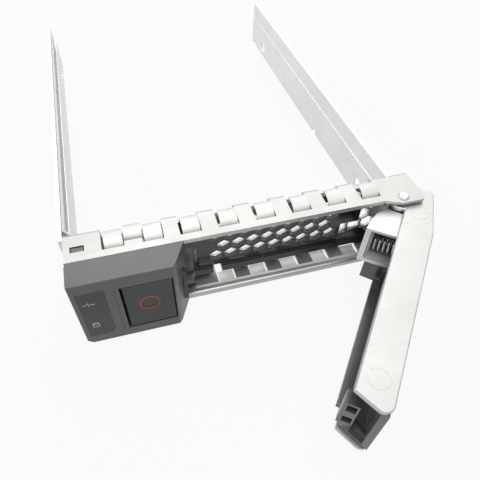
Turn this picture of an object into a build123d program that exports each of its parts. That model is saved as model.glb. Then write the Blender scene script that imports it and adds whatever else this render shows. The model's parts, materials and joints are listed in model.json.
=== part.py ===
from build123d import *
import math
import os

# Hot-swap drive carrier: two sheet rails behind a folded front channel, a latch housing and a hinged handle.
# Millimetres. +X runs along the front from the latch housing to the handle's pivot, +Y back along the rails and
# +Z up. While it is built, X is 0 at the housing's left side, Y is 0 at the channel's front edges and Z is 0 at
# the channel's underside. The handle is built closed and then swung open about its pin.

os.makedirs("parts", exist_ok=True)

# Drive bay and rails
bay_width = 70.1
bay_left = 0.3
rail_sheet = 0.8
rail_bottom = 4.4
rail_height = 13.3
rail_step_height = 8.6
left_rail_step = 0.7
right_rail_step = 0.15
rail_end = 106.8
foot_low = 0.8
foot_high = 8.0
left_foot_width = 8.6
drive_overhang = 2.0
screw_from_connector = 14.0
screw_spacing = 76.6
screw_above_base = 3.0
screw_hole_radius = 1.7
screw_sink_radius = 2.9
notch_y = 46.0
notch_from_end = 2.8
notch_radius = 1.3

# Front channel
sheet = 0.7
front_height = 19.4
front_right = 74.0
wall_rear = 7.6
bend_radius = 1.1
hem_depth = 1.3
hem_end = 65.2
ear_start = 65.6
ear_slant = 3.2
ear_reach = 1.5
ear_corner = 0.9
snap_slot_left = 1.3
snap_slot_width = 2.7
snap_slot_front = 2.3
snap_slot_depth = 1.5

# Honeycomb
hex_pitch = 3.4
hex_web = 0.45
hex_first_x = 30.45
hex_row_z = 6.15
hex_columns = 12
hex_rows = 4
vent_rows_below = 1
vents_left = 28.0
grille_thickness = 1.05
grille_gap = 0.25
grille_clearance = 0.35
grille_right = 60.1
grille_pad_width = 4.4
grille_slot_offset = 2.5
grille_slot_width = 0.8
port_offset = 6.5
port_width = 2.0
port_height = 1.3
grille_pad_low = 8.4
grille_pad_high = 13.2

# Spring fingers
strip_sheet = 0.25
finger_width = 3.6
finger_rise = 0.8
finger_pitch = 7.7
finger_first_x = 22.95
finger_count = 6
finger_root = 2.0
finger_tip = 5.9
side_finger_first_x = 7.75
side_finger_pitch = 3.85
side_finger_setback = 1.2
window_left = 0.5
window_right = 0.2
window_front = 0.35
window_drop = 1.9
strip_width = 0.85

# Latch housing, its window and button
bezel_depth = 5.85
bezel_width_front = 19.45
bezel_width_back = 22.65
bezel_corner = 1.0
bezel_edge = 0.12
bezel_low_corner = 1.0
bezel_rear_corner = 0.8
bezel_groove = 0.15
bezel_wall = 1.2
bezel_tail_clearance = 0.25
panel_left = 0.95
panel_width = 5.35
panel_low = 2.45
panel_top_margin = 2.65
panel_cut = 1.3
panel_thickness = 0.8
button_left = 8.9
button_width = 10.3
button_low = 2.6
button_top_margin = 3.15
button_gap = 0.12
button_wide_gap = 0.4
button_thickness = 1.2
button_travel = 1.0
button_step = 0.12
ring_x = 14.05
ring_outer = 2.1
ring_inner = 1.66
ring_depth = 0.5

# Catch
catch_ratio = 1.2
catch_gap = 0.15
catch_thickness = 1.1
catch_front = -2.4
catch_left = 12.4
catch_low = 3.9
catch_height = 9.4
nose_shoulder = 0.75
prong_height = 1.7
prong_low = 5.35
prong_step = 4.4
prong_reach = 1.9
wedge_width = 1.5
wedge_height = 2.6
wedge_x = 14.4
plate_gap = 0.3
plate_thickness = 1.2
button_spring_wire = 0.2
button_spring_radius = 1.0
catch_spring_wire = 0.13
catch_spring_radius = 0.65
small_spring_turns = 4
coil_steps = 12
spring_end_gap = 0.02

# Light pipes
pipe_thickness = 0.6
pipe_height = 1.4
pipe_first_low = 15.7
pipe_drop = 2.1
pipe_end = 101.0
pipe_end_stagger = 3.0
activity_icon_z = 13.15
status_icon_z = 6.2
icon_x = 2.8
pipe_bar = 1.2
pipe_bar_gap = 0.3

# Handle, closed, with distances along it counted from its pin
pivot_x = 69.7
pivot_y = 0.25
pin_radius = 0.9
pin_head_radius = 1.15
pin_head_height = 0.45
hinge_fit = 0.06
open_angle = 51.0
handle_gap = 0.45
plate_sheet = 0.8
handle_inner = -1.0
handle_outer = -7.3
handle_end_inner = 45.6
handle_end_outer = 48.2
handle_corner = 1.6
heel = 5.6
heel_corner = 1.4
boss_radius = 2.5
body_wall = 1.1
body_setback = 0.5
end_setback = 1.1
lip_drop = 3.4
foot_rise = 2.3
foot_inner = 0.2
end_rib_height = 0.8
vent_first_u = 13.2
vent_columns = 8
vent_rows = 3
block_start = 2.8
block_end = 9.8
block_inner = 5.0
block_low = 7.4
block_roof = 1.1
block_floor = 1.3
cup_wall = 0.5
cup_fit = 0.05
block_travel = 1.2
block_room = 0.35
block_seat = 3.1
hinge_spring_u = 6.4
hinge_spring_radius = 2.1
hinge_spring_turns = 8
hinge_spring_wire = 0.3
claw_length = 2.6
claw_inner = -0.5
claw_outer = -3.3
claw_end_gap = 0.3
claw_slot_depth = 1.6
claw_slot_room = 0.3
claw_high = 12.3
peg_radius = 1.9
peg_inner_u = 2.3
peg_outer_u = 42.4
peg_m = -4.15
peg_groove = 0.14
rivet_radius = 0.8
rivet_head_radius = 1.1
rivet_head_height = 0.45

# Worked out from the sizes above
bay_right = bay_left + bay_width
wall_front = wall_rear - sheet
flange_top_inner = front_height - sheet
hem_low = front_height - 2 * sheet
drive_base = rail_bottom
connector_end = rail_end + drive_overhang
screw_y_back = connector_end - screw_from_connector
screw_y_front = screw_y_back - screw_spacing
screw_z = drive_base + screw_above_base
hex_row_pitch = hex_pitch * math.sqrt(3) / 2
hex_radius = (hex_pitch - hex_web) / math.sqrt(3)
grille_back = wall_front - grille_gap
grille_left = bezel_width_back + grille_clearance
grille_front = grille_back - grille_thickness
handle_low = sheet + handle_gap
handle_high = front_height - sheet - handle_gap
panel_high = front_height - panel_top_margin
button_high = front_height - button_top_margin
ring_z = front_height / 2
tail_low = 2 * sheet + bezel_tail_clearance
tail_high = front_height - tail_low
cavity_front = -bezel_depth + bezel_wall
catch_back = catch_front + catch_thickness
catch_high = catch_low + catch_height
plate_front = catch_back + plate_gap
catch_travel = button_travel * catch_ratio
spring_x = button_left + 2.0
spring_z = catch_high + 0.3 + button_spring_radius
claw_low = handle_low + plate_sheet + foot_rise
claw_end = handle_end_inner - claw_end_gap
side_slope = (bezel_width_back - bezel_width_front - bezel_corner) / (bezel_depth - bezel_corner)
nose_x = bezel_width_back + side_slope * catch_front
body_back = handle_outer + 0.35 + body_wall + 0.4
block_back = body_back + block_travel + block_room
on_end = (Align.CENTER, Align.CENTER, Align.MIN)


def block(x0, x1, y0, y1, z0, z1):
    """A box between two corners."""
    return Pos(x0, y0, z0) * Box(x1 - x0, y1 - y0, z1 - z0, align=(Align.MIN,) * 3)


def flat(points, z0, z1):
    """An outline in plan, raised from z0 to z1."""
    return extrude(Plane.XY.offset(z0) * make_face(Polyline(*points, close=True)), z1 - z0)


def facing_back(face, y0, y1):
    """A face drawn in X and Z, carried back from y0 to y1."""
    plane = Plane(origin=(0, y0, 0), x_dir=(1, 0, 0), z_dir=(0, -1, 0))
    return extrude(plane * face, -(y1 - y0))


def along_x(face, x0, x1):
    """A face drawn in Y and Z, carried from x0 to x1."""
    return extrude(Plane.YZ.offset(x0) * face, x1 - x0)


def outline(points):
    return make_face(Polyline(*points, close=True))


def disc_y(x, z, radius, y0, y1):
    """A round bar along Y."""
    return facing_back(Pos(x, z) * Circle(radius), y0, y1)


def post(x, y, radius, z0, z1):
    """A round bar along Z."""
    return Pos(x, y, z0) * Cylinder(radius, z1 - z0, align=on_end)


def coil(radius, wire, length, turns, start):
    """A coil spring along the start plane's normal, bent from short straight runs."""
    pitch = (length - 2 * wire) / turns
    middle = radius - wire
    points = []
    for index in range(turns * coil_steps + 1):
        turn = 2 * math.pi * index / coil_steps
        points.append((middle * math.cos(turn), middle * math.sin(turn), pitch * index / coil_steps))
    path = Polyline(*points)
    section = Plane(origin=path @ 0, z_dir=path % 0) * RegularPolygon(wire, 6)
    return start * Pos(0, 0, wire) * sweep(section, path=path, transition=Transition.RIGHT)


def swung(shape):
    """Turns a piece of the closed handle to where it stands open."""
    hinge = Axis((pivot_x, pivot_y, 0), (0, 0, 1))
    return shape.rotate(hinge, open_angle)


def handle_plan(points):
    """Points along and across the handle, as places in the closed plan."""
    return [(pivot_x - u, pivot_y + m) for u, m in points]


def hex_centres(first_column, last_column, rows):
    """Centres of the honeycomb's cells, row by row from the lowest whole row."""
    for row in rows:
        offset = hex_pitch / 2 if row % 2 else 0.0
        for column in range(first_column, last_column):
            yield hex_first_x + column * hex_pitch + offset, hex_row_z + row * hex_row_pitch


def hex_cells(first_column, last_column, rows, y0, y1, left, right, top):
    """The cells that lie inside the given edges, as bars along Y."""
    cells = []
    for x, z in hex_centres(first_column, last_column, rows):
        if left <= x - hex_radius and x + hex_radius <= right and z + hex_radius <= top:
            cells.append(Pos(x, z) * RegularPolygon(hex_radius, 6, rotation=30))
    return [facing_back(cell, y0, y1) for cell in cells]


def finger_places():
    """Left edge, setback and whether the finger has a twin below, for each finger."""
    for index in range(3):
        setback = side_finger_setback if index == 1 else 0.0
        yield side_finger_first_x + index * side_finger_pitch, setback, True
    for index in range(finger_count):
        yield finger_first_x + index * finger_pitch, 0.0, index > 0


def window_box(x, setback):
    """Plan edges of the window that a finger springs through; it runs out over the bend."""
    left, right = x - window_left, x + finger_width + window_right
    return left, right, finger_root + setback - window_front, wall_rear + 1


def make_front_channel():
    """One folded sheet: two flanges, the honeycomb wall, hemmed edges and the hinge ears."""
    body = block(0, front_right, 0, wall_rear, 0, front_height)
    rear = [e for e in body.edges().filter_by(Axis.X) if e.center().Y > wall_front]
    body = fillet(rear, bend_radius)
    hollow = block(-1, front_right + 1, -1, wall_front, sheet, flange_top_inner)
    inside = [e for e in hollow.edges().filter_by(Axis.X) if e.center().Y > 0]
    body -= fillet(inside, bend_radius - sheet)
    for low in (0, hem_low):
        hem = block(0, hem_end, 0, hem_depth, low, low + 2 * sheet)
        nose = [e for e in hem.edges().filter_by(Axis.X) if e.center().Y < sheet]
        body += fillet(nose, sheet * 0.9)
        keep = block(-1, hem_end, -1, sheet, low - 1, low + 2 * sheet + 1)
        body -= keep - block(0, hem_end, 0, sheet, low, low + 2 * sheet)
    ear = [(ear_start, 0), (ear_start + ear_slant, -ear_reach), (front_right, -ear_reach), (front_right, 0)]
    for low in (0, flange_top_inner):
        lug = flat(ear, low, low + sheet)
        corner = lug.edges().filter_by(Axis.Z).sort_by(Axis.X)[-2:].sort_by(Axis.Y)[0]
        body += fillet(corner, ear_corner)
    rows = range(-vent_rows_below, hex_rows)
    vents_right = hex_first_x + hex_columns * hex_pitch
    front, back = wall_front - 1, wall_rear + 1
    for cell in hex_cells(0, hex_columns, rows, front, back, vents_left, vents_right, flange_top_inner):
        body -= cell
    for x, setback, below in finger_places():
        left, right, front, back = window_box(x, setback)
        body -= block(left, right, front, back, front_height - window_drop, front_height + 1)
        if below:
            body -= block(left, right, front, back, -1, window_drop)
    for low, high in ((flange_top_inner - 0.1, front_height + 1), (-1, sheet + 0.1)):
        right = snap_slot_left + snap_slot_width
        body -= block(snap_slot_left, right, snap_slot_front, snap_slot_front + snap_slot_depth, low, high)
    body -= pipe_window(wall_front - 1, wall_rear + 1)
    body -= port(wall_front - 1, wall_rear + 1)
    for x, z in rivet_places():
        body -= disc_y(x, z, rivet_radius, wall_front - 1, wall_rear + 1)
    body -= post(pivot_x, pivot_y, pin_radius, -1, front_height + 1)
    return body


def pipe_window(y0, y1):
    """The opening that both light pipes pass through."""
    low = pipe_first_low - pipe_drop - 0.4
    high = pipe_first_low + pipe_height + 0.4
    return block(bay_left - 1.2, icon_x + pipe_bar * 1.5 + pipe_bar_gap + 0.3, y0, y1, low, high)


def port(y0, y1):
    """The small hole low down beside the grille's plain panel."""
    left, low = grille_left + port_offset, sheet + bend_radius
    return block(left, left + port_width, y0, y1, low, low + port_height)


def rivet_places():
    """Rivets that hold each rail's foot to the wall."""
    left_x = bay_left + left_foot_width - 2.2
    right_x = (bay_right + rail_sheet + front_right) / 2
    low = rail_bottom + foot_low + 1.7
    high = rail_bottom + foot_high - 1.7
    return [(left_x, low), (left_x, high), (right_x, low), (right_x, high)]


def make_rail(inner, outward, step):
    """A sheet rail with its upper band set out by a step; outward is -1 on the left and 1 on the right."""
    low, high = rail_bottom, rail_bottom + rail_height
    fold = rail_bottom + rail_step_height
    face, back = inner, inner + outward * rail_sheet
    upper, upper_back = inner + outward * step, inner + outward * (step + rail_sheet)
    section = [(face, low), (back, low), (back, fold), (upper_back, fold + step), (upper_back, high)]
    section += [(upper, high), (upper, fold + rail_sheet * 0.4), (face, fold)]
    rail = facing_back(outline(section), wall_rear, rail_end)
    foot_x = inner + left_foot_width if outward < 0 else front_right
    start, end = sorted((back, foot_x))
    rail += block(start, end, wall_rear, wall_rear + rail_sheet, low + foot_low, low + foot_high)
    for y in (screw_y_front, screw_y_back):
        bore = Plane(origin=(face - outward, y, screw_z), z_dir=(outward, 0, 0))
        rail -= bore * Cylinder(screw_hole_radius, 4, align=on_end)
        sink = Plane(origin=(face + outward * rail_sheet * 0.35, y, screw_z), z_dir=(outward, 0, 0))
        spread = screw_sink_radius - screw_hole_radius
        rail -= sink * Cone(screw_hole_radius, screw_sink_radius, spread, align=on_end)
    for y in (notch_y, rail_end - notch_from_end):
        notch = Plane(origin=(face - outward, y, low), z_dir=(outward, 0, 0))
        rail -= notch * Cylinder(notch_radius, 3, align=on_end)
    for x, z in rivet_places():
        rail -= disc_y(x, z, rivet_radius, wall_rear - 1, wall_rear + 2)
    return rail


def make_rail_rivets():
    """A shank with a domed head in front of the wall and a flat one behind the foot."""
    group = []
    for x, z in rivet_places():
        back = wall_rear + rail_sheet
        rivet = disc_y(x, z, rivet_radius, wall_front, back)
        head = disc_y(x, z, rivet_head_radius, wall_front - rivet_head_height, wall_front)
        head = chamfer(head.edges().sort_by(Axis.Y)[0], rivet_head_height * 0.6)
        group.append(rivet + head + disc_y(x, z, rivet_head_radius, back, back + rivet_head_height))
    return Compound(children=group)


def finger(x, setback):
    """One spring finger of the upper strip: it rises through its window and ends above the flange."""
    root, tip = finger_root + setback, min(finger_tip + setback, wall_rear - bend_radius)
    low = flange_top_inner - strip_sheet
    crest = front_height + finger_rise - strip_sheet
    end = front_height + finger_rise * 0.3
    middle = root + (tip - root) * 0.58
    under = ThreePointArc((root, low), (middle, crest), (tip, end))
    over = ThreePointArc((tip, end + strip_sheet), (middle, crest + strip_sheet), (root, low + strip_sheet))
    ends = [Line((tip, end), (tip, end + strip_sheet)), Line((root, low + strip_sheet), (root, low))]
    face = make_face([under, ends[0], over, ends[1]])
    shape = along_x(face, x, x + finger_width)
    base = block(x, x + finger_width, hem_depth + 0.1, root + 0.12, low, flange_top_inner)
    return shape + base


def make_top_strip():
    """The strip's band lies under the flange, behind the hem, and carries every finger."""
    first = side_finger_first_x
    last = finger_first_x + (finger_count - 1) * finger_pitch + finger_width
    band_front = hem_depth + 0.1
    band_low = flange_top_inner - strip_sheet
    strip = block(first - 0.6, last + 0.6, band_front, band_front + strip_width, band_low, flange_top_inner)
    for x, setback, _ in finger_places():
        strip += finger(x, setback)
    return strip


def make_bottom_strip():
    """The same strip upside down, without the finger beside the latch housing."""
    first = side_finger_first_x
    last = finger_first_x + (finger_count - 1) * finger_pitch + finger_width
    band_front = hem_depth + 0.1
    band_low = flange_top_inner - strip_sheet
    strip = block(first - 0.6, last + 0.6, band_front, band_front + strip_width, band_low, flange_top_inner)
    for x, setback, below in finger_places():
        if below:
            strip += finger(x, setback)
    return strip.mirror(Plane.XY.offset(front_height / 2))


def make_front_grille():
    """Moulded honeycomb in front of the sheet one, with the pad beside the hinge."""
    low, high = hex_row_z - hex_radius - 1.1, flange_top_inner - 0.3
    base_low = sheet + bend_radius
    plate = block(grille_left, grille_right, grille_front, grille_back, base_low, high)
    pad_right = grille_right + grille_pad_width
    plate += block(grille_right - 0.5, pad_right, grille_front, grille_back, grille_pad_low, grille_pad_high)
    left, right = grille_left + 5, grille_right - 0.3
    front, back = grille_front - 1, grille_back + 1
    for cell in hex_cells(0, hex_columns, range(hex_rows), front, back, left, right, high):
        plate -= cell
    slot = grille_left + grille_slot_offset
    plate -= block(slot, slot + grille_slot_width, front, back, base_low + 1.5, front_height / 2)
    lip = block(grille_left, grille_right, grille_front - 1.2, grille_front, base_low, low - 0.6)
    edge = lip.edges().filter_by(Axis.X).group_by(Axis.Z)[-1].sort_by(Axis.Y)[0]
    lip = chamfer(edge, 0.6)
    return plate + lip - port(grille_front - 2, grille_back + 1)


def bezel_plan(inset, back):
    """The housing's outline in plan, drawn in by a wall."""
    front = -bezel_depth + inset
    right_front = bezel_width_front - inset * 0.6
    right_mid = bezel_width_front + bezel_corner * 0.75 - inset * 1.1
    side = bezel_width_back - inset * math.hypot(1, side_slope)
    plan = [(inset, back), (inset, front), (right_front, front), (right_mid, front + bezel_corner)]
    return plan + [(side, 0), (side, back)]


def make_bezel():
    """The latch housing: a hollow block in front of the channel with a tail between the flanges."""
    points = bezel_plan(0, 0)
    points = [(bezel_rear_corner, 0), (0, -bezel_rear_corner)] + points[1:5]
    head = flat(points, 0.05, front_height - 0.05)
    low_edge = head.edges().filter_by(Axis.Y).group_by(Axis.Z)[0].sort_by(Axis.X)[0]
    head = chamfer(low_edge, bezel_low_corner)
    head = chamfer([e for e in head.edges() if e.center().Y < -bezel_depth + 0.05], bezel_edge)
    body = head + block(0.9, bezel_width_back, 0, grille_back, tail_low, tail_high)
    room_low, room_high = tail_low + bezel_wall, tail_high - bezel_wall
    body -= flat(bezel_plan(bezel_wall, grille_back + 1), room_low, room_high)
    button_right = button_left + button_width
    body -= block(button_left, button_right, -bezel_depth - 1, cavity_front + 0.1, button_low, button_high)
    body -= panel_shape(-bezel_depth - 1, -bezel_depth + panel_thickness)
    body -= panel_shape(-bezel_depth, cavity_front + 0.1, 0.6)
    groove = button_left - 1.0
    groove_floor = -bezel_depth + bezel_groove
    body -= block(groove, groove + 0.2, -bezel_depth - 1, groove_floor, button_low, button_high)
    rib_x = button_left - 1.2
    body += block(rib_x, rib_x + 0.8, cavity_front, plate_front, room_low, room_high)
    post_right = bezel_width_back + 1.6
    body += block(bezel_width_back, post_right, 0.7, 2.5, tail_low + 0.2, tail_high - 1.8)
    ledge = plate_front + plate_thickness + 0.05
    for x0, x1 in ((bezel_wall, rib_x), (rib_x + 0.8, bezel_width_back - bezel_wall)):
        for z0 in (room_low, room_high - 0.7):
            body += block(x0, x1, ledge, ledge + 0.85, z0, z0 + 0.7)
    stroke_end = -bezel_depth + button_thickness + button_travel + 0.2
    body -= block(button_left, button_right, cavity_front, stroke_end, button_low, button_high)
    slit_front, slit_back = catch_front - 0.15, catch_back + 0.2
    slit_low, slit_high = catch_low - 0.2, catch_high + 0.2
    body -= block(bezel_width_front - 2, bezel_width_back + 2, slit_front, slit_back, slit_low, slit_high)
    body -= pipe_window(wall_front - 6, wall_rear)
    for low, high in ((tail_high, front_height - 0.15), (0.15, tail_low)):
        left, right = snap_slot_left + 0.2, snap_slot_left + snap_slot_width - 0.2
        front, back = snap_slot_front + 0.15, snap_slot_front + snap_slot_depth - 0.3
        body += block(left, right, front, back, low, high)
    return body


def panel_shape(y0, y1, inset=0.0):
    """The indicator window's outline with its cut lower corner."""
    left, right = panel_left + inset, panel_left + panel_width - inset
    low, high = panel_low + inset, panel_high - inset
    points = [(left, low), (right - panel_cut, low), (right, low + panel_cut), (right, high), (left, high)]
    return facing_back(outline(points), y0, y1)


def make_indicator_window():
    return panel_shape(-bezel_depth + 0.05, -bezel_depth + panel_thickness)


def make_light_pipe(index, icon_z):
    """A thin bar along the left rail's upper band that turns in to an icon."""
    low = pipe_first_low - index * pipe_drop
    left = bay_left - left_rail_step + 0.05
    right = left + pipe_thickness
    end = pipe_end - index * pipe_end_stagger
    bar_left = icon_x - pipe_bar / 2 + index * (pipe_bar + pipe_bar_gap)
    bar_right = bar_left + pipe_bar
    turn = wall_front - 4
    plan = [(left, end), (left, wall_rear + 3.4), (bar_left, wall_rear + 0.4), (bar_left, turn)]
    plan += [(bar_right, turn), (bar_right, wall_rear + 0.2), (right, wall_rear + 3.4), (right, end)]
    pipe = flat(plan, low, low + pipe_height)
    bottom = icon_z - pipe_bar / 2
    pipe += block(bar_left, bar_right, turn - pipe_bar, turn, bottom, low + pipe_height)
    tip = -bezel_depth + panel_thickness + 0.05
    pipe += block(icon_x - pipe_bar / 2, bar_right, tip, turn - pipe_bar, bottom, bottom + pipe_bar)
    return pipe


def make_button():
    """The square push button: a dished cap and the wedge that draws the catch back."""
    left, right = button_left + button_wide_gap, button_left + button_width - button_gap
    low, high = button_low + button_gap, button_high - button_wide_gap
    front = -bezel_depth + button_step
    back = -bezel_depth + button_thickness
    cap = block(left, right, front, back, low, high)
    cap = chamfer([e for e in cap.edges() if abs(e.center().Y - front) < 0.01], 0.25)
    cap -= disc_y(ring_x, ring_z, ring_outer, front - 1, front + ring_depth)
    cap += disc_y(ring_x, ring_z, ring_inner, front + 0.12, front + ring_depth)
    reach = catch_front - 0.1
    tip_left = wedge_x + catch_ratio * (reach - back)
    wedge = [(wedge_x, back - 0.3), (wedge_x, back), (tip_left, reach), (tip_left + wedge_width, reach)]
    wedge += [(tip_left + wedge_width, back - 0.3)]
    return cap + flat(wedge, ring_z - wedge_height / 2, ring_z + wedge_height / 2)


def make_button_ring():
    front = -bezel_depth + button_step
    ring = disc_y(ring_x, ring_z, ring_outer, front, front + ring_depth)
    return ring - disc_y(ring_x, ring_z, ring_inner, front - 1, front + ring_depth + 1)


def make_catch():
    """The sliding catch: a plate with a ramped window and a tall nose whose prongs hold the handle's claw."""
    back_face = -bezel_depth + button_thickness
    plate = block(catch_left, nose_x + nose_shoulder, catch_front, catch_back, catch_low, catch_high)
    top = plate.edges().filter_by(Axis.Y).group_by(Axis.Z)[-1].sort_by(Axis.X)[-1]
    plate = chamfer(top, 0.9)
    ramp_front = wedge_x + catch_ratio * (catch_front - back_face) - catch_gap * 1.6
    ramp_back = wedge_x + catch_ratio * (catch_back - back_face) - catch_gap * 1.6
    far = ramp_back + wedge_width + catch_travel + 0.6
    slot = [(ramp_front, catch_front), (ramp_back, catch_back), (far, catch_back), (far, catch_front)]
    plate -= flat(slot, ring_z - wedge_height / 2 - 0.2, ring_z + wedge_height / 2 + 0.2)
    root, tip = nose_x + nose_shoulder - 0.3, nose_x + nose_shoulder + prong_reach
    for index in range(2):
        low = prong_low + index * prong_step
        plan = [(root, catch_front), (tip - 0.8, catch_front), (tip, catch_back - 0.3)]
        plan += [(tip, catch_back), (root, catch_back)]
        plate += flat(plan, low, low + prong_height)
    return plate


def make_spring_plate():
    """The plate behind the catch that the button's spring bears on."""
    left = button_left - 0.3
    right = bezel_width_front - 0.4
    low, high = tail_low + bezel_wall + 0.1, tail_high - bezel_wall - 0.1
    plate = block(left, right, plate_front, plate_front + plate_thickness, low, high)
    plate -= block(right - 3, right - 1, plate_front - 1, plate_front + 3, high * 0.4, high * 0.7)
    stub = button_spring_radius - 2 * button_spring_wire - 0.15
    return plate + disc_y(spring_x, spring_z, stub, plate_front - 1.0, plate_front)


def make_button_spring():
    back = -bezel_depth + button_thickness
    start = Plane(origin=(spring_x, back + spring_end_gap, spring_z), z_dir=(0, 1, 0))
    length = plate_front - back - 2 * spring_end_gap
    return coil(button_spring_radius, button_spring_wire, length, small_spring_turns, start)


def make_catch_spring():
    left = button_left - 0.4
    middle = (catch_front + catch_back) / 2
    start = Plane(origin=(left + spring_end_gap, middle, catch_low + catch_height / 3), z_dir=(1, 0, 0))
    length = catch_left - left - 2 * spring_end_gap
    return coil(catch_spring_radius, catch_spring_wire, length, small_spring_turns, start)


def handle_sheet():
    """The outline of the handle's two cover plates, with the round end about the pin and the heel beyond it."""
    plan = [(2.2, handle_inner), (handle_end_inner, handle_inner), (handle_end_outer, handle_outer)]
    plan += [(7.4, handle_outer - 0.2), (-heel, handle_outer + 1.5), (-heel, -2.4), (0, 0.5)]
    face = outline(handle_plan(plan))
    tip = [v for v in face.vertices() if v.X < pivot_x - 40 and v.Y < pivot_y - 5]
    face = fillet(tip, handle_corner)
    back = [v for v in face.vertices() if v.X > pivot_x + heel - 0.1]
    face = fillet(back, heel_corner)
    return face + Pos(pivot_x, pivot_y) * Circle(boss_radius)


def make_cover_plate(low):
    """One silver cover plate."""
    plate = extrude(Plane.XY.offset(low) * handle_sheet(), plate_sheet)
    top = low > front_height / 2
    rim = [e for e in plate.edges() if abs(e.center().Z - (low + plate_sheet if top else low)) < 0.01]
    plate = chamfer(rim, 0.2)
    plate -= post(pivot_x, pivot_y, pin_radius + hinge_fit, low - 1, low + 2)
    for u in (peg_inner_u, peg_outer_u):
        plate -= post(pivot_x - u, pivot_y + peg_m, peg_radius, low - 1, low + 2)
    return plate


def make_handle_body():
    """The dark channel between the plates: outer wall with vents, a lip above, a foot below and ends."""
    low, high = handle_low + plate_sheet, handle_high - plate_sheet
    inner = handle_inner - body_setback * 0.3
    slope = (handle_end_outer - handle_end_inner) / (handle_outer - handle_inner)
    outer = handle_outer + 0.35
    end_inner = handle_end_inner - body_setback
    end_outer = end_inner + slope * (outer - inner)
    foot_low_end = end_outer - end_setback + body_setback
    plan = [(-heel + 0.9, outer + 1.3), (7.4, outer), (end_outer, outer), (end_inner, inner)]
    plan += [(1.5, inner), (-2.0, -1.4), (-heel + 0.9, -2.9)]
    solid = flat(handle_plan(plan), low, high)
    cut = [(end_inner - end_setback, inner + 1), (foot_low_end, outer - 1)]
    cut += [(end_outer + 2, outer - 1), (end_outer + 2, inner + 1)]
    solid -= flat(handle_plan(cut), low - 1, low + end_rib_height)
    hollow = [(block_end + 1.2, outer + body_wall), (end_outer + 3, outer + body_wall)]
    hollow += [(end_outer + 3, inner + 3), (block_end + 1.2, inner + 3)]
    solid -= flat(handle_plan(hollow), low + body_wall, high - body_wall)
    near, far = block_end + 1.2, end_inner - 3.4
    lip_end, lip_back = end_inner - 1.2, inner - body_wall
    lip = [(near, lip_back), (lip_end, lip_back), (lip_end, inner), (near, inner)]
    solid += flat(handle_plan(lip), high - lip_drop, high)
    foot = [(near, lip_back), (far, lip_back), (far, foot_inner - 0.2), (near, foot_inner)]
    solid += flat(handle_plan(foot), low, low + foot_rise)
    seat = [(far - 0.5, claw_outer), (claw_end, claw_outer), (claw_end, inner), (far - 0.5, inner)]
    solid += flat(handle_plan(seat), low + body_wall, low + foot_rise)
    for step in (0.9, 2.1):
        start = end_inner - step
        rib = [(start - 0.4, claw_outer), (start - 0.4 + slope * (outer - claw_outer), outer + body_wall)]
        rib += [(start + slope * (outer - claw_outer), outer + body_wall), (start, claw_outer)]
        solid += flat(handle_plan(rib), low + body_wall, low + body_wall + end_rib_height)
    under = [(1.5, inner), (block_end, inner), (block_end - 0.4, 3.2), (block_start + 1.2, 2.6)]
    solid += flat(handle_plan(under), low, block_low - 0.2)
    pocket = [(block_start - 0.5, body_back), (block_end + 3, body_back), (block_end + 3, inner + 3)]
    pocket += [(block_start - 0.5, inner + 3)]
    solid -= flat(handle_plan(pocket), block_low - 0.2, high)
    solid += post(pivot_x, pivot_y, boss_radius, low, high)
    solid -= post(pivot_x, pivot_y, pin_radius + hinge_fit, low - 1, high + 1)
    for column in range(vent_columns):
        for row in range(vent_rows):
            u = vent_first_u + column * hex_pitch + (hex_pitch / 2 if row % 2 else 0)
            z = front_height / 2 + (row - (vent_rows - 1) / 2) * hex_row_pitch
            cell = Pos(pivot_x - u, z) * RegularPolygon(hex_radius, 6, rotation=30)
            solid -= facing_back(cell, pivot_y + outer - 1, pivot_y + outer + body_wall + 0.2)
    return solid


def block_pocket(grow):
    """The pocket's outline in the kick-out block, drawn in by the cup's wall."""
    left = hinge_spring_u - hinge_spring_radius - 0.15 - grow
    right = hinge_spring_u + hinge_spring_radius + 0.15 + grow
    seat = block_seat + grow
    plan = [(left, block_back - 1), (left, seat), (right, seat)]
    plan += [(block_end + 1, block_inner - 1.4 + grow), (block_end + 1, block_back - 1)]
    return handle_plan(plan)


def make_kick_block():
    """The sliding block beside the pin: a roofed pocket, open at its front, that the kick-out spring fills."""
    high = handle_high - plate_sheet - 0.3
    plan = [(block_start, block_back), (block_start, -0.4), (block_start - 0.2, 2.3), (4.6, 3.9), (6.9, 4.6)]
    plan += [(block_end, block_inner), (block_end, block_back)]
    piece = flat(handle_plan(plan), block_low, high)
    floor, roof = block_low + block_floor - cup_wall, high - block_roof + cup_wall
    return piece - flat(block_pocket(cup_wall + cup_fit), floor, roof)


def make_kick_cup():
    """The dark cup that lines the block's pocket."""
    high = handle_high - plate_sheet - 0.3
    low = block_low + block_floor
    cup = flat(block_pocket(cup_wall), low - cup_wall + cup_fit, high - block_roof + cup_wall - cup_fit)
    keep = [(block_start, block_back + 0.2), (block_end - 0.4, block_back + 0.2)]
    keep += [(block_end - 0.4, block_inner), (block_start, block_inner)]
    cup &= flat(handle_plan(keep), low - 1, high)
    return cup - flat(block_pocket(0), low, high - block_roof)


def make_kick_spring():
    """The coil between the handle's back wall and the block, lying across the handle."""
    z = block_low + block_floor + hinge_spring_radius + 0.1
    start_y = pivot_y + body_back + spring_end_gap
    start = Plane(origin=(pivot_x - hinge_spring_u, start_y, z), z_dir=(0, 1, 0))
    length = block_seat - body_back - 2 * spring_end_gap
    return coil(hinge_spring_radius, hinge_spring_wire, length, hinge_spring_turns, start)


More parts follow.
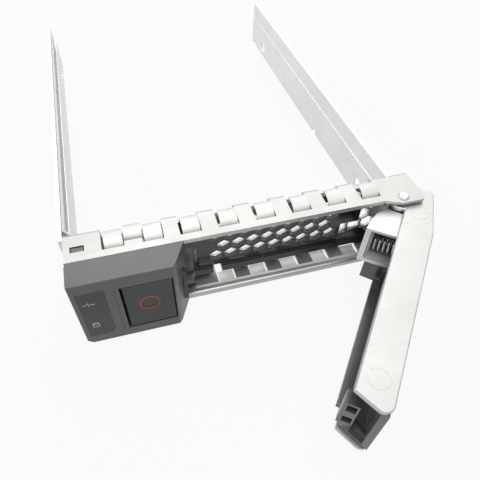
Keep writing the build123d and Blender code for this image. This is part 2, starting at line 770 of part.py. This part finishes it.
def make_claw():
    """The block inside the free end, with two pockets in its end, that the catch's prongs hold."""
    start = claw_end - claw_length
    plan = [(start, claw_inner), (claw_end, claw_inner), (claw_end, claw_outer), (start, claw_outer)]
    claw = flat(handle_plan(plan), claw_low, claw_high)
    near, far = catch_back - pivot_y + claw_slot_room, catch_front - pivot_y - claw_slot_room
    pocket = [(claw_end - claw_slot_depth, near), (claw_end + 1, near)]
    pocket += [(claw_end + 1, far), (claw_end - claw_slot_depth, far)]
    for index in range(2):
        low = prong_low + index * prong_step
        claw -= flat(handle_plan(pocket), low - claw_slot_room, low + prong_height + claw_slot_room)
    return claw


def make_pegs():
    """Round staked heads that show flush in the cover plates."""
    group = []
    for u in (peg_inner_u, peg_outer_u):
        for low in (handle_low, handle_high - plate_sheet):
            x, y = handle_plan([(u, peg_m)])[0]
            group.append(swung(post(x, y, peg_radius - peg_groove, low, low + plate_sheet)))
    return Compound(children=group)


def make_pin():
    """The pivot pin: riveted over both ears."""
    pin = post(pivot_x, pivot_y, pin_radius, 0, front_height)
    head = post(pivot_x, pivot_y, pin_head_radius, front_height, front_height + pin_head_height)
    head = chamfer(head.edges().sort_by(Axis.Z)[-1], pin_head_height * 0.6)
    tail = post(pivot_x, pivot_y, pin_head_radius, -pin_head_height, 0)
    return pin + head + tail


pieces = {
    "front_channel": make_front_channel(),
    "left_rail": make_rail(bay_left, -1, left_rail_step),
    "right_rail": make_rail(bay_right, 1, right_rail_step),
    "rail_rivets": make_rail_rivets(),
    "top_finger_strip": make_top_strip(),
    "bottom_finger_strip": make_bottom_strip(),
    "front_grille": make_front_grille(),
    "bezel_housing": make_bezel(),
    "indicator_window": make_indicator_window(),
    "activity_light_pipe": make_light_pipe(0, activity_icon_z),
    "status_light_pipe": make_light_pipe(1, status_icon_z),
    "release_button": make_button(),
    "button_ring": make_button_ring(),
    "button_spring": make_button_spring(),
    "latch_catch": make_catch(),
    "catch_spring": make_catch_spring(),
    "spring_plate": make_spring_plate(),
    "handle_top_plate": swung(make_cover_plate(handle_high - plate_sheet)),
    "handle_bottom_plate": swung(make_cover_plate(handle_low)),
    "handle_body": swung(make_handle_body()),
    "kick_block": swung(make_kick_block()),
    "kick_cup": swung(make_kick_cup()),
    "kick_spring": swung(make_kick_spring()),
    "handle_claw": swung(make_claw()),
    "handle_pegs": make_pegs(),
    "pivot_pin": make_pin(),
}

# The origin is the middle of the whole carrier's base
bounds = Compound([solid for shape in pieces.values() for solid in shape.solids()]).bounding_box()
shift = Vector(-(bounds.min.X + bounds.max.X) / 2, -(bounds.min.Y + bounds.max.Y) / 2, -bounds.min.Z)

for name, shape in pieces.items():
    export_step(Pos(shift) * Compound(shape.solids()), f"parts/{name}.step")
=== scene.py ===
"""Looks for the hot-swap drive carrier: its finishes, small moulded and printed details, light and camera."""

import json
import math

import bmesh
import bpy
from mathutils import Matrix, Vector


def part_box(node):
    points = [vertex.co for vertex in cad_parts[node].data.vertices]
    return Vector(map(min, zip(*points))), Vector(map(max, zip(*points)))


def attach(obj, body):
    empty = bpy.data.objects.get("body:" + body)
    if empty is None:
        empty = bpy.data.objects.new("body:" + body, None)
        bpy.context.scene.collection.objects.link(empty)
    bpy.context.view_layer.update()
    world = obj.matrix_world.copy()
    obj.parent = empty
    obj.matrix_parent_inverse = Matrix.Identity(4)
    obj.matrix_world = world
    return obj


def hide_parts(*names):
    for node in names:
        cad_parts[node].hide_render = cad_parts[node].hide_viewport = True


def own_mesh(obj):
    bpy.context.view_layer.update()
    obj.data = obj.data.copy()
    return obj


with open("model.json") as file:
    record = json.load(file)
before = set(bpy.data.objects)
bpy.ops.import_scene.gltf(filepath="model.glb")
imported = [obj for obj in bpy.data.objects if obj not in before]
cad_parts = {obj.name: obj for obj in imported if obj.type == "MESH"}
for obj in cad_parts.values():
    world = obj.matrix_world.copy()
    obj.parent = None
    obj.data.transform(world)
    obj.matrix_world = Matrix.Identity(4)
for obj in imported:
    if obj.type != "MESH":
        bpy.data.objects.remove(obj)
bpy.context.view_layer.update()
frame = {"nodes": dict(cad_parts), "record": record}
nodes = frame["nodes"]

MM = 0.001
# The hinge ears reach this many millimetres in front of the channel's own front
EAR_REACH = 1.5
channel_low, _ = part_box("front_channel")
zero = Vector((channel_low[0], channel_low[1] + EAR_REACH * MM, channel_low[2]))


def at(x, y, z):
    """A place in the shared frame, from millimetres off the channel's left end, front and underside."""
    return zero + Vector((x, y, z)) * MM


# Nodes and colours

# A Mix node's sockets for colours, by number because those for numbers and vectors have the same names
SHARE = 0
FIRST = 6
SECOND = 7
MIXED = 2

# Noise gathers round a half, so this middle part of it is stretched over the whole range
MIDDLE = {"From Min": 0.3, "From Max": 0.7}

# Cosine between the rounded and the true surface: on a flat, and where an edge is fully paled, by wear and,
# on the grille and button, as a painted highlight
ON_A_FLAT = 0.995
ON_AN_EDGE = 0.86

PLASTIC_IOR = 1.49


def linear(code):
    """An sRGB hex colour as linear values."""
    out = []
    for index in (0, 2, 4):
        value = int(code[index:index + 2], 16) / 255
        out.append(value / 12.92 if value <= 0.04045 else ((value + 0.055) / 1.055) ** 2.4)
    return tuple(out) + (1.0,)


def add(tree, kind, inputs=None, **settings):
    """Adds a node with its settings; an input takes a value, a socket, or a node's first output."""
    made = tree.nodes.new("ShaderNode" + kind)
    for key, value in settings.items():
        setattr(made, key, value)
    for key, value in (inputs or {}).items():
        if isinstance(value, bpy.types.Node):
            value = value.outputs[0]
        if isinstance(value, bpy.types.NodeSocket):
            tree.links.new(value, made.inputs[key])
        else:
            made.inputs[key].default_value = value
    return made


def new_material(name):
    """An empty material and its node tree."""
    material = bpy.data.materials.new(name)
    material.use_nodes = True
    material.node_tree.nodes.clear()
    return material, material.node_tree


def pattern(tree, size, drawn_out=(1, 1, 1), detail=3.0):
    """Noise fixed to the piece, with marks about size millimetres across.

    A factor below 1 in drawn_out draws the marks out along that axis.
    """
    where = add(tree, "TexCoord")
    placed = add(tree, "Mapping", {"Vector": where.outputs["Object"], "Scale": drawn_out})
    return add(tree, "TexNoise", {
        "Vector": placed, "Scale": 1 / (size * MM), "Detail": detail, "Roughness": 0.6})


def edge_wear_and_highlight(tree, radius, stains):
    """A normal that rounds the edges, and a value that is 0 on a flat and up to 1 on an edge, where it pales
    the colour.

    The value is less where the stains are dark, so that the paling is patchy. The paling is wear, and on the
    grille and button a painted highlight.
    """
    rounded = add(tree, "Bevel", {"Radius": radius * MM}, samples=4)
    surface = add(tree, "NewGeometry")
    same = add(tree, "VectorMath", {0: rounded, 1: surface.outputs["True Normal"]}, operation="DOT_PRODUCT")
    edge = add(tree, "MapRange", {
        "Value": same.outputs["Value"], "From Min": ON_A_FLAT, "From Max": ON_AN_EDGE})
    patchy = add(tree, "MapRange", {"Value": stains, **MIDDLE, "To Min": 0.25, "To Max": 0.8})
    return rounded, add(tree, "Math", {0: edge, 1: patchy}, operation="MULTIPLY")


# Finishes

def sheet_metal(name, dark, light, edge, roughness, relief, drawn_out=(1, 1, 1)):
    """Rolled, drawn or cast metal: hairline marks, faint stains, and edges worn bright."""
    material, tree = new_material(name)
    # The real marks are some 0.05 mm wide; they are drawn 0.4 mm wide to show at the render's size
    marks = pattern(tree, 0.4, drawn_out)
    # Faint stains are about as wide as a fingertip
    stains = pattern(tree, 9.0, detail=5.0)
    normal, wear_and_highlight = edge_wear_and_highlight(tree, 0.08, stains)
    tone = add(tree, "MapRange", {"Value": stains, **MIDDLE})
    stained = add(tree, "Mix", {
        SHARE: tone, FIRST: linear(dark), SECOND: linear(light)}, data_type="RGBA")
    faint = add(tree, "MapRange", {"Value": marks, "To Max": 0.25})
    lined = add(tree, "Mix", {
        SHARE: faint, FIRST: stained.outputs[MIXED], SECOND: linear(dark)}, data_type="RGBA")
    colour = add(tree, "Mix", {
        SHARE: wear_and_highlight, FIRST: lined.outputs[MIXED], SECOND: linear(edge)}, data_type="RGBA")
    uneven = 0.08
    shader = add(tree, "BsdfPrincipled", {
        "Base Color": colour.outputs[MIXED],
        "Metallic": 1.0,
        "Roughness": add(tree, "MapRange", {
            "Value": marks, "To Min": roughness - uneven, "To Max": roughness + uneven}),
        "Normal": add(tree, "Bump", {
            "Height": marks, "Strength": relief, "Distance": 0.1 * MM, "Normal": normal})})
    add(tree, "OutputMaterial", {"Surface": shader})
    return material


def moulded(name, dark, light, edge, roughness, relief, level, rounding=0.1):
    """Injection-moulded plastic: fine spark-eroded grain, slow changes of tone, edges paler from handling; on
    the grille and button the paler edges are a painted highlight.
    """
    material, tree = new_material(name)
    # The real grain is about 0.05 mm; it is drawn 0.3 mm across to show at the render's size
    grain = pattern(tree, 0.3, detail=2.0)
    # The melt's flow leaves slow changes of tone, some 7 mm across
    clouds = pattern(tree, 7.0, detail=4.0)
    normal, wear_and_highlight = edge_wear_and_highlight(tree, rounding, clouds)
    tone = add(tree, "MapRange", {"Value": clouds, **MIDDLE})
    toned = add(tree, "Mix", {
        SHARE: tone, FIRST: linear(dark), SECOND: linear(light)}, data_type="RGBA")
    # Edges pale towards the edge colour: wear, and on the grille and button a painted highlight
    colour = add(tree, "Mix", {
        SHARE: wear_and_highlight, FIRST: toned.outputs[MIXED], SECOND: linear(edge)}, data_type="RGBA")
    uneven = 0.05
    shader = add(tree, "BsdfPrincipled", {
        "Base Color": colour.outputs[MIXED],
        "IOR": PLASTIC_IOR,
        "Specular IOR Level": level,
        "Roughness": add(tree, "MapRange", {
            "Value": grain, "To Min": roughness - uneven, "To Max": roughness + uneven}),
        "Normal": add(tree, "Bump", {
            "Height": grain, "Strength": relief, "Distance": 0.05 * MM, "Normal": normal})})
    add(tree, "OutputMaterial", {"Surface": shader})
    return material


def clear_moulding(name, dark, light, roughness):
    """Clear plastic that carries light: a little milky, with long flow ripples from the mould."""
    material, tree = new_material(name)
    # The mould's ripples are about 3 mm across and ten times as long
    ripples = pattern(tree, 3.0, (1, 0.1, 1), 2.0)
    rounded = add(tree, "Bevel", {"Radius": 0.08 * MM}, samples=4)
    tone = add(tree, "MapRange", {"Value": ripples, **MIDDLE})
    colour = add(tree, "Mix", {
        SHARE: tone, FIRST: linear(dark), SECOND: linear(light)}, data_type="RGBA")
    uneven = 0.1
    shader = add(tree, "BsdfPrincipled", {
        "Base Color": colour.outputs[MIXED],
        "IOR": PLASTIC_IOR,
        "Transmission Weight": 0.1,
        "Roughness": add(tree, "MapRange", {
            "Value": ripples, "To Min": roughness, "To Max": roughness + uneven}),
        "Normal": add(tree, "Bump", {
            "Height": ripples, "Strength": 0.05, "Distance": 0.1 * MM, "Normal": rounded})})
    add(tree, "OutputMaterial", {"Surface": shader})
    return material


# Marks drawn out some thirty times along a piece
ALONG_X = (0.03, 1, 1)
ALONG_Y = (1, 0.03, 1)

finishes = {
    # Cold-rolled steel sheet, stamped and left bright: near white under a softbox, grey where it
    # mirrors the grille
    "channel_steel": sheet_metal(
        "stamped_bright_steel_sheet", dark="B2B2B0", light="C0C0BE", edge="F4F4F2",
        roughness=0.48, relief=0.05, drawn_out=ALONG_X),
    # Zinc-plated steel sheet: paler and softer than the channel, its rolling marks run along the rail
    "rail_steel": sheet_metal(
        "zinc_plated_rail_sheet", dark="E2E3E4", light="EEEEEE", edge="FAFAFA",
        roughness=0.48, relief=0.03, drawn_out=ALONG_Y),
    # Mild steel heads set by a press: smooth, with no direction
    "rivet_steel": sheet_metal(
        "formed_rivet_steel", dark="BEBEBC", light="D0D0CE", edge="F4F4F2",
        roughness=0.38, relief=0.05),
    # Stainless spring strip: bright and soft, its drawn marks run along each finger
    "finger_steel": sheet_metal(
        "bright_spring_steel_strip", dark="C2C2C0", light="D0D0CE", edge="FCFCFA",
        roughness=0.60, relief=0.08, drawn_out=ALONG_Y),
    # Glass-filled nylon, moulded glossy: dark; the paler edge colour round the honeycomb's rims is a painted
    # highlight for its glints
    "grille_plastic": moulded(
        "glossy_moulded_nylon", dark="222222", light="2C2C2C", edge="6A6A6A",
        roughness=0.16, relief=0.25, level=0.8, rounding=0.2),
    # ABS blend with an even matt grain: a sheen on top, dark in front
    "bezel_plastic": moulded(
        "grained_abs_bezel", dark="4A4A4A", light="525252", edge="929292",
        roughness=0.36, relief=0.25, level=0.9),
    # Smooth polycarbonate, back-printed: a darker tone than the bezel, without its grain
    "window_plastic": moulded(
        "smooth_polycarbonate_panel", dark="3A3A3A", light="424242", edge="7E7E7E",
        roughness=0.32, relief=0.03, level=0.5),
    # Acrylic, milky from scattering: no clear view through
    "light_pipe": clear_moulding(
        "milky_acrylic_light_pipe", dark="D6D8D9", light="E4E6E6", roughness=0.35),
    # Drawn music wire: bright, with no direction that shows
    "spring_steel": sheet_metal(
        "drawn_music_wire", dark="B4B4B2", light="CECECC", edge="F4F4F2",
        roughness=0.25, relief=0.02),
    # ABS with the bezel's grain; its paler rim is wear from fingers, widened into a painted highlight
    "button_plastic": moulded(
        "grained_abs_button", dark="3A3A3A", light="424242", edge="8A8A8A",
        roughness=0.46, relief=0.25, level=0.5, rounding=0.2),
    # Pad-printed ink in a moulded groove: dull orange
    "ring_paint": moulded(
        "pad_printed_orange_ink", dark="94482A", light="A85A38", edge="B87048",
        roughness=0.45, relief=0.10, level=0.4),
    # Acetal, moulded dark: waxy
    "catch_plastic": moulded(
        "dark_acetal_catch", dark="303030", light="3A3A3A", edge="707070",
        roughness=0.35, relief=0.10, level=0.5),
    # Stainless plate, fine-brushed: an even near white
    "handle_steel": sheet_metal(
        "fine_brushed_handle_plate", dark="BCBCBA", light="C6C6C4", edge="F4F4F2",
        roughness=0.44, relief=0.03, drawn_out=ALONG_X),
    # Glass-filled nylon, satin: picks up the floor along its side
    "handle_plastic": moulded(
        "satin_moulded_nylon", dark="505050", light="5A5A5A", edge="7A7A7A",
        roughness=0.24, relief=0.12, level=1.0),
    # Die-cast zinc, tumbled: a soft, even, pale grey
    "block_metal": sheet_metal(
        "tumbled_zinc_casting", dark="DADAD8", light="E8E8E6", edge="F8F8F6",
        roughness=0.50, relief=0.12),
}

# Two pieces look unlike the rest of their slot
own_finishes = {
    # The fingers that bear on the drive are scuffed matt, and their colour, paler than the upper fingers', is
    # painted light
    "bottom_finger_strip": sheet_metal(
        "scuffed_spring_steel_painted_light", dark="ECECEA", light="FAFAF8", edge="FCFCFA",
        roughness=0.80, relief=0.12, drawn_out=ALONG_Y),
    # The spring's cup is given a pale grey: painted light that stands in for light reaching it deep in the
    # block
    "kick_cup": moulded(
        "moulded_nylon_painted_light", dark="C2C2C2", light="CECECE", edge="D8D8D8",
        roughness=0.35, relief=0.12, level=0.8),
}

for entry in frame["record"]["subparts"]:
    slots = nodes[entry["node"]].data.materials
    slots.clear()
    slots.append(own_finishes.get(entry["node"], finishes[entry["material_slot"]]))


# Small pieces that the solids leave out or only hint at

def mesh_piece(name, build, body, material):
    """A piece made with bmesh that rides on a body."""
    shape = bmesh.new()
    build(shape)
    bmesh.ops.recalc_face_normals(shape, faces=shape.faces)
    data = bpy.data.meshes.new(name)
    shape.to_mesh(data)
    shape.free()
    piece = bpy.data.objects.new(name, data)
    bpy.context.scene.collection.objects.link(piece)
    data.materials.append(material)
    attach(piece, body)
    return piece


def circle(count):
    """The angles of so many points round a circle."""
    return [math.tau * index / count for index in range(count)]


def skin(shape, before, after):
    """Faces between two closed loops of the same number of points."""
    for i in range(len(before)):
        j = (i + 1) % len(before)
        shape.faces.new((before[i], before[j], after[j], after[i]))


def stroke(shape, points, width, y_front, depth, closed=False):
    """A raised line on a face that looks along -Y, through points (x, z) in the part's millimetres."""
    count = len(points)
    rows = []
    for index, (x, z) in enumerate(points):
        before = points[index - 1] if index or closed else points[index]
        after = points[(index + 1) % count] if index + 1 < count or closed else points[index]
        along = Vector((after[0] - before[0], after[1] - before[1])).normalized()
        side = Vector((-along.y, along.x)) * width / 2
        corners = (
            (x + side.x, y_front, z + side.y),
            (x - side.x, y_front, z - side.y),
            (x - side.x, y_front + depth, z - side.y),
            (x + side.x, y_front + depth, z + side.y))
        rows.append([shape.verts.new(at(*corner)) for corner in corners])
    for index in range(count if closed else count - 1):
        skin(shape, rows[index], rows[(index + 1) % count])
    if not closed:
        for row in (rows[0], rows[-1]):
            shape.faces.new((row[0], row[3], row[2], row[1]))


window_low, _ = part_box("indicator_window")
WINDOW_FRONT = (window_low[1] - zero.y) / MM
# Ink stands this many millimetres out of the panel, and reaches as far into it
INK = 0.02
ICON_X = 2.8

# Screen-printed ink on the panel: a dull off-white
icon_print = moulded(
    "screen_printed_white_ink", dark="CFCFCD", light="E0E0DE", edge="E8E8E8",
    roughness=0.5, relief=0.02, level=0.5)


def pulse_icon(shape):
    """A pulse line: flat, one tall beat, flat."""
    middle_z = 13.15
    line = 0.22
    trace = ((-1.15, 0), (-0.5, 0), (-0.2, 0.8), (0.12, -0.65), (0.36, 0.25), (0.52, 0), (1.15, 0))
    points = [(ICON_X + x, middle_z + z) for x, z in trace]
    stroke(shape, points, line, WINDOW_FRONT - INK, 2 * INK)


def drum_icon(shape):
    """A drum: an ellipse for its top, and its sides and bottom as one line."""
    middle_z = 6.2
    line = 0.18
    half_width = 0.6
    half_height = 0.45
    half_top = 0.22
    rim_points = 24
    turns = circle(rim_points)
    lower_half = turns[rim_points // 2:] + [math.tau]
    top = [(ICON_X + half_width * math.cos(turn), middle_z + half_height + half_top * math.sin(turn))
           for turn in turns]
    under = [(ICON_X + half_width * math.cos(turn), middle_z - half_height + half_top * math.sin(turn))
             for turn in lower_half]
    left_top = (ICON_X - half_width, middle_z + half_height)
    right_top = (ICON_X + half_width, middle_z + half_height)
    stroke(shape, top, line, WINDOW_FRONT - INK, 2 * INK, closed=True)
    stroke(shape, [left_top] + under + [right_top], line, WINDOW_FRONT - INK, 2 * INK)


def flat_ring(shape, centre, inner, outer, low, high):
    """A flat ring about an upright axis; the radii and heights are in metres."""
    loops = []
    for radius, z in ((inner, low), (outer, low), (outer, high), (inner, high)):
        loops.append([
            shape.verts.new((centre[0] + radius * math.cos(turn), centre[1] + radius * math.sin(turn), z))
            for turn in circle(48)])
    for loop, following in zip(loops, loops[1:] + loops[:1]):
        skin(shape, loop, following)


def peg_seams(shape):
    """Metal squeezed into the fine gap round each staked peg, which shows as a thin grey line."""
    peg_low, peg_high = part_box("handle_pegs")
    peg_radius = 1.76 * MM
    seam_width = 0.14 * MM
    seam_depth = 0.04 * MM
    plate_thickness = 0.8 * MM
    overlap = 0.01 * MM
    centres = (
        (peg_high.x - peg_radius, peg_high.y - peg_radius),
        (peg_low.x + peg_radius, peg_low.y + peg_radius))
    plates = (
        (peg_low.z + seam_depth, peg_low.z + plate_thickness),
        (peg_high.z - plate_thickness, peg_high.z - seam_depth))
    for centre in centres:
        for low, high in plates:
            flat_ring(shape, centre, peg_radius - overlap, peg_radius + seam_width + overlap, low, high)


def hinge_pad(shape):
    """The low end of the grille moulding beside the hinge: a rounded pad against the wall."""
    outline = (
        (59.9, 1.0), (67.2, 1.0), (67.8, 1.6), (67.8, 4.0),
        (66.9, 5.0), (65.2, 5.4), (62.0, 4.8), (59.9, 4.5))
    front = 4.9
    back = 6.81
    foot_z = 1.0
    lean = 0.25
    rounding = 0.35
    near = [shape.verts.new(at(x, front + lean * (z - foot_z), z)) for x, z in outline]
    far = [shape.verts.new(at(x, back, z)) for x, z in outline]
    shape.faces.new(near)
    shape.faces.new(far[::-1])
    skin(shape, near, far)
    rim = [edge for edge in shape.edges if all(vert in near for vert in edge.verts)]
    bmesh.ops.bevel(shape, geom=rim, offset=rounding * MM, segments=3, affect="EDGES", profile=0.5)


def coil_spring(name, body, start, axis, radius, wire, length, turns):
    """A smooth coil in place of the solids' plain one, wound along its axis from its start.

    The places, outer radius, wire's radius and length are the solids' own.
    """
    forward = Vector(axis).normalized()
    side = forward.orthogonal().normalized()
    across = forward.cross(side)
    steps = 24
    wire_sides = 10
    slack = 0.02
    middle_radius = radius - wire - slack
    pitch = (length - 2 * wire) / turns

    def build(shape):
        rows = []
        for index in range(turns * steps + 1):
            # Half a turn on, so that the wire's cut end lies at the back of the block
            turn = math.tau * (index / steps + 0.5)
            outward = side * math.cos(turn) + across * math.sin(turn)
            centre = at(*start) + (forward * (wire + pitch * index / steps) + outward * middle_radius) * MM
            rows.append([
                shape.verts.new(centre + (outward * math.cos(tilt) + forward * math.sin(tilt)) * wire * MM)
                for tilt in circle(wire_sides)])
        for row, following in zip(rows, rows[1:]):
            skin(shape, row, following)
        shape.faces.new(rows[0])
        shape.faces.new(rows[-1][::-1])

    piece = mesh_piece(name + "_coil", build, body, finishes["spring_steel"])
    for face in piece.data.polygons:
        face.use_smooth = len(face.vertices) == 4
    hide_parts(name)
    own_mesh(piece)


coil_spring(
    "kick_spring", "handle", start=(69.892, -8.141, 10.9), axis=(-0.77715, 0.62932, 0),
    radius=2.1, wire=0.3, length=8.51, turns=8)
coil_spring(
    "catch_spring", "carrier", start=(8.52, -1.85, 7.033), axis=(1, 0, 0),
    radius=0.65, wire=0.13, length=3.86, turns=4)
coil_spring(
    "button_spring", "carrier", start=(10.9, -4.63, 14.6), axis=(0, 1, 0),
    radius=1.0, wire=0.2, length=3.61, turns=4)
mesh_piece("peg_seams", peg_seams, "handle", finishes["rivet_steel"])
mesh_piece("pulse_icon", pulse_icon, "carrier", icon_print)
mesh_piece("drum_icon", drum_icon, "carrier", icon_print)
mesh_piece("hinge_pad", hinge_pad, "carrier", finishes["grille_plastic"])


# Floor, light and camera

WHITE = (1, 1, 1, 1)
# How much of the background's white a reflection shows
REFLECTED_WHITE = 0.8


def background_rays(tree):
    """1 for rays that see the background straight or through clear plastic, and less in a reflection."""
    path = add(tree, "LightPath")
    glossy = add(tree, "Math", {0: path.outputs["Is Glossy Ray"], 1: REFLECTED_WHITE}, operation="MULTIPLY")
    seen = add(tree, "Math", {0: path.outputs["Is Camera Ray"], 1: glossy}, operation="MAXIMUM")
    return add(tree, "Math", {0: seen, 1: path.outputs["Is Transmission Ray"]}, operation="MAXIMUM")


def make_floor():
    """White paper, whitened to the background's tone but for a share that keeps the shadow."""
    half_side = 3.0
    gap = 0.2 * MM
    whitened = 0.92
    shape = bmesh.new()
    bmesh.ops.create_grid(shape, x_segments=1, y_segments=1, size=half_side)
    data = bpy.data.meshes.new("floor")
    shape.to_mesh(data)
    shape.free()
    floor = bpy.data.objects.new("floor", data)
    floor.location = (0, 0, -gap)
    bpy.context.scene.collection.objects.link(floor)
    material, tree = new_material("white_paper_floor")
    # The paper's tone drifts over about a hand's width
    clouds = pattern(tree, 125.0, detail=2.0)
    colour = add(tree, "Mix", {
        SHARE: clouds, FIRST: linear("B8B8B8"), SECOND: linear("BEBEBE")}, data_type="RGBA")
    paper = add(tree, "BsdfPrincipled", {"Base Color": colour.outputs[MIXED], "Roughness": 0.9})
    white = add(tree, "Emission", {"Color": WHITE, "Strength": 1.0})
    share = add(tree, "Math", {0: background_rays(tree), 1: whitened}, operation="MULTIPLY")
    mixed = add(tree, "MixShader", {0: share, 1: paper, 2: white})
    add(tree, "OutputMaterial", {"Surface": mixed})
    data.materials.append(material)


def make_world():
    """A white room, seen white and lighting softly."""
    room_light = 0.18
    world = bpy.data.worlds.new("studio")
    bpy.context.scene.world = world
    world.use_nodes = True
    tree = world.node_tree
    tree.nodes.clear()
    seen = add(tree, "Background", {"Color": WHITE, "Strength": 1.0})
    light = add(tree, "Background", {"Color": WHITE, "Strength": room_light})
    mixed = add(tree, "MixShader", {0: background_rays(tree), 1: light, 2: seen})
    add(tree, "OutputWorld", {"Surface": mixed})


def area_light(name, place, size, watts):
    """A rectangular lamp that looks at the carrier; the place and the size are in metres."""
    data = bpy.data.lights.new(name, "AREA")
    data.shape = "RECTANGLE"
    data.size, data.size_y = size
    data.energy = watts
    lamp = bpy.data.objects.new(name, data)
    lamp.location = place
    lamp.rotation_euler = (-Vector(place)).to_track_quat("-Z", "Y").to_euler()
    bpy.context.scene.collection.objects.link(lamp)


def make_camera():
    """The photo's own camera: where it stood, how it looked down, and its frame's offset."""
    stand = at(14.835, -59.461, 84.94)
    heading = math.radians(14.82)
    down = math.radians(50.17)
    roll = math.radians(-0.14)
    focal_pixels = 460.0
    frame_pixels = 480.0
    centre_x = 223.38
    centre_y = 259.57
    sensor = 36.0
    data = bpy.data.cameras.new("camera")
    data.sensor_width = sensor
    data.lens = sensor * focal_pixels / frame_pixels
    data.shift_x = (frame_pixels / 2 - centre_x) / frame_pixels
    data.shift_y = (centre_y - frame_pixels / 2) / frame_pixels
    data.clip_start = 0.005
    camera = bpy.data.objects.new("camera", data)
    forward = Vector((
        math.sin(heading) * math.cos(down), math.cos(heading) * math.cos(down), -math.sin(down)))
    level = Vector((math.cos(heading), -math.sin(heading), 0))
    upright = level.cross(forward)
    right = level * math.cos(roll) + upright * math.sin(roll)
    up = upright * math.cos(roll) - level * math.sin(roll)
    turn = Matrix((right, up, -forward)).transposed()
    camera.matrix_world = Matrix.Translation(stand) @ turn.to_4x4()
    bpy.context.scene.collection.objects.link(camera)
    bpy.context.scene.camera = camera


make_floor()
make_world()
area_light("back_softbox", place=(0.115, 0.433, 0.538), size=(0.75, 0.6), watts=2.4)
area_light("key_softbox", place=(0.0, -0.3, 0.77), size=(0.5, 0.5), watts=3.4)
area_light("left_softbox", place=(-0.6, 0.25, 0.3), size=(0.4, 0.4), watts=1.7)
make_camera()
bpy.context.scene.view_settings.view_transform = "Standard"
